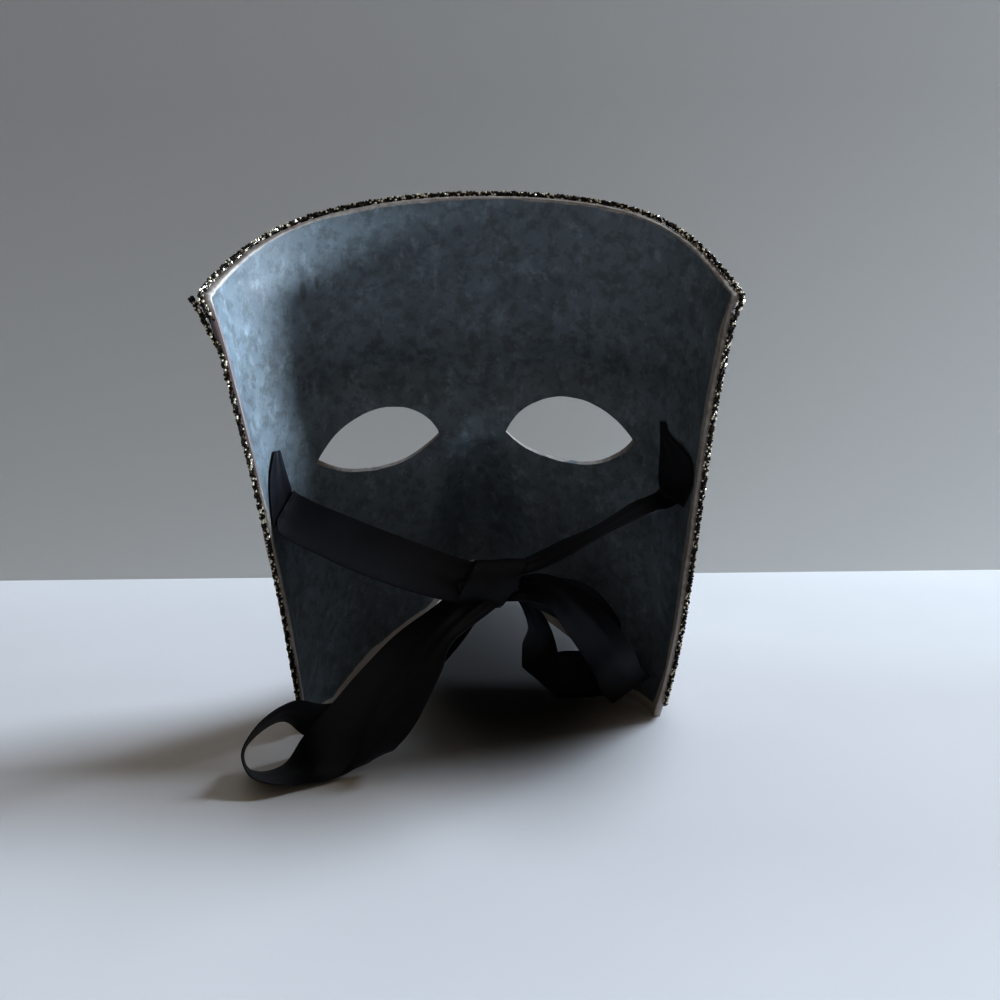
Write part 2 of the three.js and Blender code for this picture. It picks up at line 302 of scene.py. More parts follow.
def mixed(tree, factor, a, b, blend="MIX"):
    a, b = (c if isinstance(c, bpy.types.NodeSocket) else (*c, 1) for c in (a, b))
    made = joined(tree, "ShaderNodeMix", {0: factor, 6: a, 7: b}, data_type="RGBA", blend_type=blend)
    return made.outputs[2]


def sums(tree, operation, *values):
    return joined(tree, "ShaderNodeMath", dict(enumerate(values)), operation=operation).outputs[0]


def step(tree, value, low, high):
    """0 below low, 1 above high, and smooth between."""
    inputs = {"Value": value, "From Min": low, "From Max": high}
    return joined(tree, "ShaderNodeMapRange", inputs, interpolation_type="SMOOTHSTEP").outputs["Result"]


def number(tree, name):
    return joined(tree, "ShaderNodeAttribute", {}, attribute_name=name).outputs["Fac"]


def bump(tree, shader, height, strength, distance):
    made = joined(tree, "ShaderNodeBump", {"Height": height, "Strength": strength, "Distance": distance})
    tree.links.new(made.outputs["Normal"], shader.inputs["Normal"])


def stretched(tree, vector, scale):
    return joined(tree, "ShaderNodeMapping", {"Vector": vector, "Scale": scale}).outputs["Vector"]


# %% Raw paper and slate paint
RAW_DARK, RAW_PALE = (0.23, 0.205, 0.19), (0.42, 0.385, 0.355)
# The first colour below is painted light: the low cut edge is made paler where the table throws light
# back.
RAW_TABLE_LIT, RAW_DARKER_LEFT = (0.60, 0.57, 0.54), (0.13, 0.10, 0.097)
SLATE_DEEP, SLATE_MID = (0.108, 0.131, 0.150), (0.152, 0.183, 0.208)
SLATE_WORN, SLATE_DARKER = (0.190, 0.224, 0.250), (0.064, 0.073, 0.078)
DARK_BAND_UP = 119


# Dark rubs and holes in the paint: place in the worn mask's own mm, then half sizes and strength.
RUBS = (((-56.6, 35.7, 147.5), (1.2, 3, 3.8), 1.0), ((-52.3, 38.4, 149.6), (0.7, 3, 2.4), 0.85),
        ((1.4, 58.1, 72.7), (1.8, 3, 2.0), 0.6), ((-60.5, 22.4, 56.0), (1.6, 3, 0.35), 0.7),
        ((-66.0, 24.0, 131.0), (0.5, 4, 1.8), 0.5), ((-44.0, 42.0, 156.0), (0.4, 3, 2.6), 0.5),
        ((-77.4, 5.8, 158.4), (0.9, 3, 0.5), 0.7))


def soft_spot(tree, place, at, size):
    """1 in the middle of a soft spot, fading to 0 at its edge; at in metres, size in mm."""
    made = joined(tree, "ShaderNodeMapping",
                  {"Vector": place, "Scale": [1000 / value for value in size],
                   "Location": [-1000 * where / value for where, value in zip(at, size)]})
    long = joined(tree, "ShaderNodeVectorMath", {0: made.outputs["Vector"]}, operation="LENGTH")
    return sums(tree, "SUBTRACT", 1, step(tree, long.outputs["Value"], 0.5, 1.3))


def paper_paint():
    material, tree, shader = new_material("papier_paint")
    place = places_on(tree)
    cloud = noise(tree, place, 62, 4, 0.62)
    dab = noise(tree, stretched(tree, place, (230, 230, 160)), 1, 4, 0.65)
    fine = noise(tree, place, 1500, 2, 0.6)
    slate = ramp(tree, cloud, 0.36, 0.66, SLATE_DEEP, SLATE_MID)
    slate = mixed(tree, step(tree, dab, 0.5, 0.72), slate, SLATE_WORN)
    blotch = noise(tree, place, 240, 4, 0.7)
    # The slate is made darker in a band along the brows, about 119 mm up, in blotches, and at the rubs.
    from_brow = sums(tree, "ABSOLUTE", sums(tree, "SUBTRACT", number(tree, "rise"), DARK_BAND_UP))
    from_brow = sums(tree, "MULTIPLY_ADD", noise(tree, place, 90, 3, 0.6), 30, from_brow)
    shade = sums(tree, "SUBTRACT", 1, step(tree, from_brow, 12, 34))
    spots = sums(tree, "MULTIPLY", step(tree, blotch, 0.45, 0.62), 0.5)
    shade = sums(tree, "MULTIPLY_ADD", shade, 0.4, spots)
    for at, size, strength in RUBS:
        spot = soft_spot(tree, place, stood(at), size)
        shade = sums(tree, "MAXIMUM", shade, sums(tree, "MULTIPLY", spot, strength))
    slate = mixed(tree, shade, slate, SLATE_DARKER)
    raw = ramp(tree, noise(tree, place, 330, 4, 0.7), 0.35, 0.7, RAW_DARK, RAW_PALE)
    # Low down, where the table throws light back, the cut edge is painted paler: painted light.
    low_down = sums(tree, "SUBTRACT", 1, step(tree, number(tree, "rise"), 26, 58))
    raw = mixed(tree, sums(tree, "MULTIPLY", low_down, 0.75), raw, RAW_TABLE_LIT)
    # The left side's cut edge is darker, from about 90 to 155 mm up.
    rise = number(tree, "rise")
    darker_left = sums(tree, "SUBTRACT", step(tree, rise, 88, 104), step(tree, rise, 150, 156))
    darker_left = sums(tree, "SUBTRACT", darker_left, step(tree, number(tree, "round"), -60, -50))
    raw = mixed(tree, sums(tree, "MAXIMUM", darker_left, 0), raw, RAW_DARKER_LEFT)
    # Where the painter's border runs, and where the brush skipped.
    wander = sums(tree, "MULTIPLY_ADD", noise(tree, place, 300, 3, 0.6), 1.5, -0.75)
    border = sums(tree, "ADD", number(tree, "margin"), wander)
    painted = step(tree, border, -0.25, 0.35)
    inside_colour = mixed(tree, painted, raw, slate)
    face_colour = lozenges(tree, place)
    colour = mixed(tree, number(tree, "face"), inside_colour, face_colour)
    tree.links.new(colour, shader.inputs["Base Color"])
    rough = sums(tree, "MULTIPLY_ADD", cloud, 0.3, 0.42)
    tree.links.new(rough, shader.inputs["Roughness"])
    height = sums(tree, "ADD", sums(tree, "MULTIPLY", dab, 1.6), sums(tree, "MULTIPLY", fine, 0.5))
    bump(tree, shader, height, 0.5, 0.0002)
    return material


# %% Harlequin lozenges on the painted face
LOZENGE_WIDE, LOZENGE_TALL = 26.0, 44.0
IVORY, WINE, GILT = (0.47, 0.41, 0.31), (0.10, 0.014, 0.018), (0.30, 0.20, 0.06)


def lozenges(tree, place):
    """Two colours of lozenge with a thin gilt line between, laid out along the sheet."""
    round_way = sums(tree, "DIVIDE", number(tree, "round"), LOZENGE_WIDE)
    up_way = sums(tree, "DIVIDE", number(tree, "rise"), LOZENGE_TALL)
    one = sums(tree, "ADD", round_way, up_way)
    two = sums(tree, "SUBTRACT", round_way, up_way)
    odd = sums(tree, "MODULO", sums(tree, "ADD", sums(tree, "FLOOR", one), sums(tree, "FLOOR", two)), 2)
    odd = sums(tree, "ABSOLUTE", odd)

    def from_line(value):
        return sums(tree, "ABSOLUTE", sums(tree, "SUBTRACT", sums(tree, "FRACT", value), 0.5))

    nearest = sums(tree, "MAXIMUM", from_line(one), from_line(two))
    line = step(tree, nearest, 0.462, 0.472)
    wear = noise(tree, place, 90, 4, 0.65)
    field = mixed(tree, odd, IVORY, WINE)
    field = mixed(tree, sums(tree, "MULTIPLY", wear, 0.5), field, (0.2, 0.15, 0.11), "MULTIPLY")
    return mixed(tree, line, field, GILT)


PAPER_PAINT = paper_paint()

# %% Raw cut paper, for the eye holes' walls
def raw_paper():
    material, tree, shader = new_material("raw_paper")
    place = places_on(tree)
    fibre = noise(tree, place, 500, 4, 0.7)
    stain = noise(tree, place, 120, 3, 0.6)
    colour = mixed(tree, step(tree, stain, 0.5, 0.62),
                   ramp(tree, fibre, 0.3, 0.7, RAW_DARK, RAW_PALE), SLATE_MID)
    tree.links.new(colour, shader.inputs["Base Color"])
    shader.inputs["Roughness"].default_value = 0.85
    bump(tree, shader, fibre, 0.6, 0.0002)
    return material


RAW_PAPER = raw_paper()
print("materials:", [m.name for m in bpy.data.materials if m.users or m in (PAPER_PAINT, RAW_PAPER)])

# %% [markdown]
# ## The moulded sheet
#
# A closed grid of about a millimetre, lifted here and there by a few tenths where the wet paper
# wandered off the form. The margin's width is measured along the sheet from each edge: narrow on
# the left and at the top, wide on the right, growing down the arch of the mouth.

# %% Points of the sheet
COLUMNS, ROWS, ROUND_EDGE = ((230, 120, 5))


def sheet_points():
    turn = (np.linspace(0, 1, COLUMNS + 1) - 0.5) * math.pi
    low = bottom_edge(turn, 2)
    high = top_edge(turn)
    share = np.linspace(0, 1, ROWS + 1)
    up = low[:, None] + (high - low)[:, None] * share[None, :]
    turns = np.repeat(turn[:, None], ROWS + 1, 1)
    outer = outside(turns, up)
    off = outward(turns, up)
    lift = 0.28 * waves(outer[..., 0] + 0.6 * up, 3, 5, 90) * waves(up - 0.4 * outer[..., 0], 8, 5, 70)
    outer = outer + off * lift[..., None]
    inner = outer - off * THICK
    return turns, up, outer, inner, off


turns, ups, outer, inner, off = sheet_points()


# %% How far each point is from the raw margin
def along_grid(points, axis):
    gaps = np.linalg.norm(np.diff(points, axis=axis), axis=-1)
    zero = np.zeros_like(np.take(gaps, [0], axis=axis))
    return np.concatenate([zero, np.cumsum(gaps, axis=axis)], axis=axis)


def margin_of(points):
    around = along_grid(points, 0)
    up = along_grid(points, 1)
    across, height = points[..., 0], points[..., 2]
    left = around - (0.3 + 0.35 * waves(height, 21, 6, 80) + 2.6 * bell(height - 80, 7)
                     + 0.8 * smooth(0, 25, 92 - height))
    taper = 0.25 + 0.75 * smooth(0, 16, 152 - height)
    right_side = around[-1:] - around - (2.7 + 0.7 * waves(height, 22, 6, 70)) * taper
    top = up[:, -1:] - up - (0.25 + 0.3 * waves(across, 23, 6, 60))
    arch = up * 0.82 - (1.8 + 0.05 * np.abs(across) + 0.5 * waves(across, 24, 6, 40))
    return np.minimum(np.minimum(left, right_side), np.minimum(top, arch))


margin = margin_of(inner)
face_round = along_grid(outer, 0)
face_round = face_round - face_round[COLUMNS // 2][None, :]
print("painted inside, share of points:", round(float((margin > 0).mean()), 2))


# %% Close the grid round its edges
def border(index, step_in=0):
    """The grid's border as one loop of point numbers, or the points so many steps inside it."""
    first, last = step_in, -1 - step_in
    return np.concatenate([index[:, first], index[last, 1:], index[-2::-1, last], index[first, -2:0:-1]])


def closed_sheet():
    """Rows of points: outer skin, rounded rim, inner skin; returns points, quads and numbers."""
    points, faces, numbers = [], [], []
    count = (COLUMNS + 1) * (ROWS + 1)
    index = np.arange(count).reshape(COLUMNS + 1, ROWS + 1)
    for grid, on_face in ((outer, 1.0), (inner, 0.0)):
        points.append(grid.reshape(-1, 3))
        numbers.append(np.stack([np.where(on_face, 9, margin).reshape(-1), np.full(count, on_face),
                                 face_round.reshape(-1), ups.reshape(-1)], -1))
    a, b, c, d = (index[:-1, :-1], index[:-1, 1:], index[1:, 1:], index[1:, :-1])
    for base, order in ((0, (a, b, c, d)), (count, (a, d, c, b))):
        faces += (np.stack(order, -1).reshape(-1, 4) + base).tolist()
    # The loop of the grid's border, and the way off the sheet's edge there.
    loop, inward = border(index), border(index, 1)
    flat_outer, flat_inner = outer.reshape(-1, 3), inner.reshape(-1, 3)
    middle = (flat_outer[loop] + flat_inner[loop]) / 2
    half = (flat_outer[loop] - flat_inner[loop]) / 2
    way = middle - (flat_outer[inward] + flat_inner[inward]) / 2
    way /= np.linalg.norm(way, axis=-1, keepdims=True)
    rings = [loop]
    start = 2 * count
    for k in range(1, ROUND_EDGE):
        angle = math.pi * k / ROUND_EDGE
        ring = middle + half * math.cos(angle) + way * 0.6 * math.sin(angle)
        points.append(ring)
        flat = np.zeros(len(loop))
        on_loop = [face_round.reshape(-1)[loop], ups.reshape(-1)[loop]]
        numbers.append(np.stack([flat - 5, flat, *on_loop], -1))
        rings.append(start + np.arange(len(loop)))
        start += len(loop)
    rings.append(loop + count)
    for one, two in zip(rings[:-1], rings[1:]):
        after_one, after_two = np.roll(one, -1), np.roll(two, -1)
        faces.extend(np.stack([one, after_one, after_two, two], -1).tolist())
    return np.concatenate(points), faces, np.concatenate(numbers)


sheet, quads, numbers = closed_sheet()
shell = mesh_object("moulded_shell", stood_all(sheet), quads, PAPER_PAINT)
print("sheet points:", len(sheet), "quads:", len(quads))

# %% [markdown]
# ## Eye holes and tips
#
# The eye holes were cut with a knife from the front, straight through, after the paper had dried.
# A cutter in the shape of each hole does the same with a Boolean, and leaves raw paper on the
# wall of the cut. A slab under the table level takes the worn tips off flat.


# %% Cutters
def eye_curve(eye, steps=26):
    a, a1, b1, b, b2, a2 = (np.array(p, dtype=float) for p in EYES[eye])
    t = np.linspace(0, 1, steps + 1)[:-1, None]

    def bezier(p, q, r, s):
        return p * (1 - t) ** 3 + 3 * q * t * (1 - t) ** 2 + 3 * r * t ** 2 * (1 - t) + s * t ** 3

    line = np.concatenate([bezier(a, a1, b1, b), bezier(b, b2, a2, a)])
    turned = np.arange(len(line)) * 1.0
    jitter = 0.16 * np.stack([waves(turned, 31, 5, 17), waves(turned, 32, 5, 13)], -1)
    return line + jitter


def cutter_points():
    points, faces = [], []
    for eye in EYES:
        line = eye_curve(eye)
        count, base = len(line), len(points)
        for forward in (15, 95):
            points += [(p[0], forward, p[1]) for p in line]
        faces.append([base + k for k in range(count)])
        faces.append([base + count + k for k in reversed(range(count))])
        for k in range(count):
            after = (k + 1) % count
            faces.append([base + k, base + count + k, base + count + after, base + after])
    return [tuple(stood(p)) for p in points], faces


points, faces = cutter_points()
base = len(points)
for x in (-0.15, 0.15):
    for y in (-0.15, 0.15):
        for z in (-0.04, 0):
            points.append((x, y, z))
for quad in ((0, 1, 3, 2), (4, 6, 7, 5), (0, 4, 5, 1), (2, 3, 7, 6), (0, 2, 6, 4), (1, 5, 7, 3)):
    faces.append([base + k for k in quad])
cutter = mesh_object("cutter", points, faces, RAW_PAPER)


# %% Cut the sheet
def outward_faces(obj):
    work = bmesh.new()
    work.from_mesh(obj.data)
    bmesh.ops.recalc_face_normals(work, faces=work.faces)
    work.to_mesh(obj.data)
    work.free()


outward_faces(shell)
outward_faces(cutter)
cut = shell.modifiers.new("cut", "BOOLEAN")
cut.operation = "DIFFERENCE"
cut.solver = "EXACT"
cut.object = cutter
cut.material_mode = "TRANSFER"
baked(shell)
bpy.data.objects.remove(cutter)

tree = KDTree(len(sheet))
for k, p in enumerate(stood_all(sheet)):
    tree.insert(p, k)
tree.balance()
nearest = [tree.find(v.co)[1] for v in shell.data.vertices]
for column, name in enumerate(("margin", "face", "round", "rise")):
    keep_number(shell, name, numbers[nearest, column])
smooth_shading(shell, 35)
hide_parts("mask_shell")
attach(shell, "root")
print("shell faces:", len(shell.data.polygons), "materials:", [m.name for m in shell.data.materials])

# %% [markdown]
# ## The beaded braid
#
# The trim is built as three strings of tiny metal beads, twisted round each other and glued over
# the rim. It could be an array on a curve, but the twist and the beads' random metal are easier to
# steer in Geometry Nodes. About a third of the beads are pale cream: partly pale metal, partly a
# painted glint of light on the dark beads. One tree takes the path, moves its points into a helix,
# sets a bead on each, and lays a dark thread down the middle. Its sizes are named inputs of the tree.


# %% Where the braid runs
BRAID = dict(radius=1.05, over=0.35, mouth_gap=1.2, tip_clear=4.5, arch_clear=2.4)


def unit(v):
    return v / np.linalg.norm(v)


def rim_point(turn, up, edge_way, off_face, over_edge, inset=0.0):
    """A point beside the rim: so many mm off the face and so many over the edge."""
    off = outward(turn, up)
    edge_way = np.array(edge_way, dtype=float)
    over = unit(edge_way - off * edge_way.dot(off))
    return outside(turn, up) + off * off_face + over * (over_edge - inset)


def braid_route():
    side = math.pi / 2
    left_corner, right_corner = float(top_edge(-side)), float(top_edge(side))
    start, low = left_corner - 7, BRAID["tip_clear"] + 1
    over_side = BRAID["radius"] + BRAID["over"]
    on_left, on_right, on_top = (-1.1, over_side), (-0.5, over_side), (0.3, BRAID["radius"])
    route = [rim_point(-side, start, (0, -1, 0), *on_left),
             rim_point(-side, left_corner - 1, (0, -1, 1), 0.3, 1.3)]
    for turn in (np.arange(1, 30) / 30 - 0.5) * math.pi:
        route.append(rim_point(turn, float(top_edge(turn)), (0, 0, 1), *on_top))
    route.append(rim_point(side, right_corner - 1, (0, -1, 1), 0.3, 1.3))
    for up in np.linspace(right_corner - 8, low, 20):
        route.append(rim_point(side, up, (0, -1, 0), *on_right))
    for turn in np.linspace(side - 0.1, -side + 0.1, 28):
        foot = outside(turn, 0.0)
        edge = max(float(arch_edge(foot[0])), float(table_level(foot[1])) + BRAID["tip_clear"] - 3)
        route.append(rim_point(turn, edge, (0, 0, -1), BRAID["radius"] + BRAID["mouth_gap"], 0,
                               BRAID["arch_clear"]))
    for up in np.linspace(low, start - 9, 20):
        route.append(rim_point(-side, up, (0, -1, 0), *on_left))
    # The end is lapped beside the start, on the face, and its last beads stand out loose.
    route.append(rim_point(-side + 0.03, start - 3, (0, -1, 0), 1.3, 0.3))
    route.append(rim_point(-side + 0.03, start + 2, (0, -1, 0), 2.3, 0.2))
    route.append(rim_point(-side + 0.03, start + 6.5, (0, -1, 0), 3.6, 0.6))
    return np.array(route)


def curve_through(points, steps):
    """A smooth curve through given points, without overshoot where they crowd."""
    points = np.asarray(points, dtype=float)
    ends = (2 * points[0] - points[1], 2 * points[-1] - points[-2])
    all_points = np.concatenate([[ends[0]], points, [ends[1]]])
    t = np.linspace(0, 1, steps + 1)[:-1, None]
    out = []
    for a, b, c, d in zip(all_points, all_points[1:], all_points[2:], all_points[3:]):
        ab, bc, cd = (max(np.linalg.norm(q - p) ** 0.5, 1e-4) for p, q in ((a, b), (b, c), (c, d)))
        start = ((b - a) / ab - (c - a) / (ab + bc) + (c - b) / bc) * bc
        end = ((c - b) / bc - (d - b) / (bc + cd) + (d - c) / cd) * bc
        out.append(b + start * t + (3 * (c - b) - 2 * start - end) * t ** 2
                   + (2 * (b - c) + start + end) * t ** 3)
    return np.concatenate(out + [points[-1:]])


def path_object(name, points):
    """Points in metres as a plain path that a node tree can follow."""
    data = bpy.data.curves.new(name, "CURVE")
    data.dimensions = "3D"
    spline = data.splines.new("POLY")
    spline.points.add(len(points) - 1)
    spline.points.foreach_set("co", np.c_[points, np.ones(len(points))].astype(np.float32).ravel())
    obj = bpy.data.objects.new(name, data)
    scene.collection.objects.link(obj)
    return obj


braid_path = path_object("braid_path", stood_all(curve_through(braid_route(), 12)))
print("braid path points:", len(braid_path.data.splines[0].points))


# %% The metal of the beads
def bead_metal():
    material, tree, shader = new_material("bead_metal")
    place = places_on(tree)
    tone = number(tree, "tone")
    dark = ramp(tree, tone, 0.45, 0.75, (0.03, 0.026, 0.022), (0.2, 0.15, 0.09))
    # About a third of the beads are pale cream: partly pale metal, partly a painted glint of light.
    colour = mixed(tree, step(tree, tone, 0.64, 0.72), dark, (0.80, 0.75, 0.62))
    tree.links.new(colour, shader.inputs["Base Color"])
    shader.inputs["Metallic"].default_value = 0.55
    grime = noise(tree, place, 900, 2)
    tree.links.new(sums(tree, "MULTIPLY_ADD", grime, 0.3, 0.05), shader.inputs["Roughness"])
    bump(tree, shader, grime, 0.3, 0.0001)
    return material


BEAD_METAL = bead_metal()


# %% The twist of beads as a node tree
def new_tree(name, sizes):
    """An empty node tree with a geometry in, a geometry out, and named sizes."""
    tree = bpy.data.node_groups.new(name, "GeometryNodeTree")
    tree.interface.new_socket("Geometry", in_out="INPUT", socket_type="NodeSocketGeometry")
    for label, value in sizes.items():
        socket = tree.interface.new_socket(label, in_out="INPUT", socket_type="NodeSocketFloat")
        socket.default_value = value
    tree.interface.new_socket("Geometry", in_out="OUTPUT", socket_type="NodeSocketGeometry")
    return tree, tree.nodes.new("NodeGroupInput"), tree.nodes.new("NodeGroupOutput")


def arrow(tree, operation, a, b=None, scale=None):
    made = joined(tree, "ShaderNodeVectorMath", {0: a}, operation=operation)
    if b is not None:
        tree.links.new(b, made.inputs[1])
    if scale is not None:
        tree.links.new(scale, made.inputs["Scale"])
    return made.outputs[0]


def bead_twist_tree(strands=3):
    sizes = {"Bead": 0.00046, "Spacing": 0.00074, "Twist": 0.0006, "Pitch": 0.0108, "Thread": 0.0005,
             "Loose": 0.00013}
    tree, given, result = new_tree("bead_twist", sizes)
    steps = joined(tree, "GeometryNodeResampleCurve",
                   {"Curve": given.outputs["Geometry"], "Length": given.outputs["Spacing"]},
                   mode="LENGTH")
    length = tree.nodes.new("GeometryNodeSplineParameter").outputs["Length"]
    normal = tree.nodes.new("GeometryNodeInputNormal").outputs[0]
    tangent = tree.nodes.new("GeometryNodeInputTangent").outputs[0]
    aside = arrow(tree, "CROSS_PRODUCT", tangent, normal)
    bead = joined(tree, "GeometryNodeMeshUVSphere",
                  {"Segments": 6, "Rings": 4, "Radius": given.outputs["Bead"]})
    join = tree.nodes.new("GeometryNodeJoinGeometry")
    for strand in range(strands):
        turns_so_far = sums(tree, "DIVIDE", length, given.outputs["Pitch"])
        turn = sums(tree, "MULTIPLY_ADD", turns_so_far, 2 * math.pi, strand * 2 * math.pi / strands)
        one, two = (arrow(tree, "SCALE", way, scale=sums(tree, "MULTIPLY", sums(tree, kind, turn),
                                                         given.outputs["Twist"]))
                    for way, kind in ((normal, "COSINE"), (aside, "SINE")))
        loose = joined(tree, "FunctionNodeRandomValue",
                       {"Seed": 25 + strand, 0: (-1, -1, -1), 1: (1, 1, 1)}, data_type="FLOAT_VECTOR")
        three = arrow(tree, "SCALE", loose.outputs[0], scale=given.outputs["Loose"])
        moved = joined(tree, "GeometryNodeSetPosition",
                       {"Geometry": steps.outputs[0],
                        "Offset": arrow(tree, "ADD", arrow(tree, "ADD", one, two), three)})
        size = joined(tree, "FunctionNodeRandomValue",
                      {"Seed": 5 + strand, 2: 0.72, 3: 1.12}, data_type="FLOAT")
        facing = joined(tree, "FunctionNodeAlignRotationToVector", {"Vector": tangent}, axis="Z")
        beads = joined(tree, "GeometryNodeInstanceOnPoints",
                       {"Points": moved.outputs[0], "Instance": bead.outputs["Mesh"],
                        "Rotation": facing.outputs[0], "Scale": size.outputs[1]})
        tone = joined(tree, "FunctionNodeRandomValue", {"Seed": 15 + strand}, data_type="FLOAT")
        kept = joined(tree, "GeometryNodeStoreNamedAttribute",
                      {"Geometry": beads.outputs[0], "Name": "tone", "Value": tone.outputs[1]},
                      data_type="FLOAT", domain="INSTANCE")
        tree.links.new(kept.outputs[0], join.inputs[0])
    ring = joined(tree, "GeometryNodeCurvePrimitiveCircle",
                  {"Resolution": 6, "Radius": given.outputs["Thread"]})
    thread = joined(tree, "GeometryNodeCurveToMesh",
                    {"Curve": steps.outputs[0], "Profile Curve": ring.outputs[0], "Fill Caps": True})
    tree.links.new(thread.outputs[0], join.inputs[0])
    real = joined(tree, "GeometryNodeRealizeInstances", {"Geometry": join.outputs[0]})
    dressed = joined(tree, "GeometryNodeSetMaterial",
                     {"Geometry": real.outputs[0], "Material": BEAD_METAL})
    tree.links.new(dressed.outputs[0], result.inputs[0])
    return tree


# %% Grow the braid along its path
def grown(name, source, tree):
    """The node tree's result on a path, as a plain mesh object."""
    source.modifiers.new("grow", "NODES").node_group = tree
    graph = bpy.context.evaluated_depsgraph_get()
    mesh = bpy.data.meshes.new_from_object(source.evaluated_get(graph))
    mesh.name = name
    bpy.data.objects.remove(source)
    obj = bpy.data.objects.new(name, mesh)
    scene.collection.objects.link(obj)
    return obj


braid = grown("beaded_braid", braid_path, bead_twist_tree())
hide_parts("edge_braid")
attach(braid, "root")
print("braid triangles:", sum(len(p.vertices) - 2 for p in braid.data.polygons))

# %% [markdown]
# ## The satin ribbons
#
# Each ribbon is a strip of black satin 19 mm wide. Its end is glued flat inside the temple, then
# it twists over to the knot, loops and falls to the table. Cloth simulation can tie no bow, so
# each strip is laid out from listed pairs of points that say where its two edges run. Where the
# pairs come nearer together than the ribbon is wide, the strip is folded into small pleats that
# use up the spare width. Places are in mm, across, back and up from the table, before the seat's
# shift.

# %% Where the ribbons' edges run
RIBBON_WIDE = 19.0
LEFT_GLUED = [[(15.5, 100), (19.3, 99)], [(8.7, 93.5), (20.3, 89.5)], [(3.6, 86), (20.8, 83.5)],
              [(1.5, 79), (20.4, 82.4)]]
RIGHT_GLUED = [[(24.2, 103.5), (26.6, 103)], [(22.5, 100.5), (25.6, 96.3)], [(6.5, 96.7), (24.8, 88.8)],
               [(2.6, 90.3), (23.8, 82)], [(7.5, 79.5), (22.4, 79.2)]]
LEFT_BAND = [[(-63.3, -4.5, 88), (-67.4, -18, 80.5)], [(-61.9, -3.4, 86.4), (-66.6, -20, 77.4)],
             [(-47.9, -7.5, 80.5), (-54.9, -24, 71.3)], [(-28.9, -12.5, 73.2), (-34.9, -28.5, 62.6)],
             [(-6.9, -17, 65.3), (-9.9, -27, 54)], [(-2, -17.5, 64.4), (-3, -23, 54.5)]]
RIGHT_BAND = [[(61.4, -1.6, 84.5), (65.6, -10.4, 82)], [(60.1, -1.5, 83.2), (64.6, -11.8, 81)],
              [(52.1, -6.5, 81.3), (55.1, -24, 81.3)], [(38.6, -10.5, 74.4), (37.6, -28.8, 75.2)],
              [(24.1, -12.5, 68.8), (22.6, -30, 67)], [(6.1, -17, 62.5), (6.6, -27, 61)]]
LEFT_LOOP = [[(-5.9, -18, 59), (-0.9, -27, 52)], [(-17.9, -19, 50), (-7.9, -33, 44)],
             [(-29.9, -21, 42), (-16.9, -32, 33)], [(-41.6, -24, 31.6), (-29.9, -30, 20.5)],
             [(-51.8, -27, 21), (-38.9, -31, 9.5)], [(-60.9, -29.5, 11.5), (-48.4, -39, 2)],
             [(-67.9, -28.5, 1.3), (-59.9, -45, 2.2)], [(-74.4, -32.5, 0.9), (-68.9, -49.5, 5)],
             [(-78.9, -31, 1.8), (-74.9, -48.5, 7.5)], [(-80.5, -29, 5), (-77.5, -46, 12.5)],
             [(-78.9, -30, 9.5), (-75.9, -47, 18)], [(-73.9, -29.5, 14), (-70.9, -45.5, 24)],
             [(-67.9, -24, 14.5), (-62.4, -36.5, 26.3)], [(-60.9, -18.5, 6.5), (-53.6, -24.5, 20.2)],
             [(-48.9, -12, 7.5), (-40, -17.5, 21)], [(-31.9, -10, 26), (-20.9, -16, 40)],
             [(-11.9, -13, 47), (-4.9, -18, 58)]]
LEFT_TAIL = [[(-6.9, -22, 56), (3.1, -27.5, 52.5)], [(-15.9, -27, 48), (-12.3, -38, 43.5)],
             [(-24.9, -30, 40), (-15.6, -43, 37)], [(-32.9, -34, 28), (-20.6, -45, 27)],
             [(-38.9, -37, 17.5), (-25, -46, 20)], [(-44.4, -39, 7.5), (-30.6, -45, 13)],
             [(-49.4, -38, 0.8), (-34.4, -35.5, 7)]]
RIGHT_LOOP_FRONT = [[(7.1, -19, 56), (12.1, -22, 60)], [(11.6, -17, 49), (14.6, -9, 51)],
                    [(14.6, -9, 39), (23.1, 6, 35)], [(13.6, 6, 27), (27.6, 16.5, 20)],
                    [(14.6, 19, 14), (28.6, 17.6, 0.9)]]
RIGHT_LOOP_BACK = [[(15.3, 20, 14.6), (28.9, 17.4, 0.9)], [(28.6, 20.2, 18.8), (30.6, 18.4, 0.9)],
                   [(39.1, 21.2, 18.6), (42.6, 19, 0.9)], [(47.6, 20.5, 20.5), (51.6, 20.5, 2)],
                   [(51.2, 15.4, 29), (44.6, 18.5, 16)], [(46.8, 9, 38.5), (37.1, 12, 26)],
                   [(36.6, 0, 50.5), (25.1, -1, 39)], [(18.1, -14, 58.5), (10.1, -16, 50.5)]]
RIGHT_TAIL = [[(8.5, -19, 61.5), (4.2, -26, 53.5)], [(17.1, -15, 61.2), (12.6, -29, 54)],
              [(26.1, -11, 57.6), (19.2, -26, 51)], [(36.6, -7, 48.8), (25, -18, 42)],
              [(45.9, -4, 37.5), (31.3, -9.5, 31)], [(52.6, -1, 26.5), (38.6, 0.5, 17.5)],
              [(56.8, 2.8, 17), (43.1, 8.2, 7)], [(60.9, 8.2, 12.2), (47.8, 12.2, 0.7)]]


def on_table(p):
    return np.array([p[0] + SEAT.x, p[1] + SEAT.y, p[2]])


GLUE_GAP = 0.6


def glued_at(side, pairs):
    """Pairs of forward and up, laid on the inner skin of a temple, in mm on the table."""
    places = []
    for forward, up in pairs:
        turn = side * math.acos(forward / float(depth_at(up)))
        p = outside(turn, up) - outward(turn, up) * (THICK + GLUE_GAP)
        places.append(np.array(stood(p)) / MM)
    return places


laid_by_hand = (LEFT_GLUED, LEFT_BAND, LEFT_LOOP, LEFT_TAIL,
                RIGHT_GLUED, RIGHT_BAND, RIGHT_LOOP_FRONT, RIGHT_LOOP_BACK, RIGHT_TAIL)
print("ribbon pairs:", sum(len(pairs) for pairs in laid_by_hand))

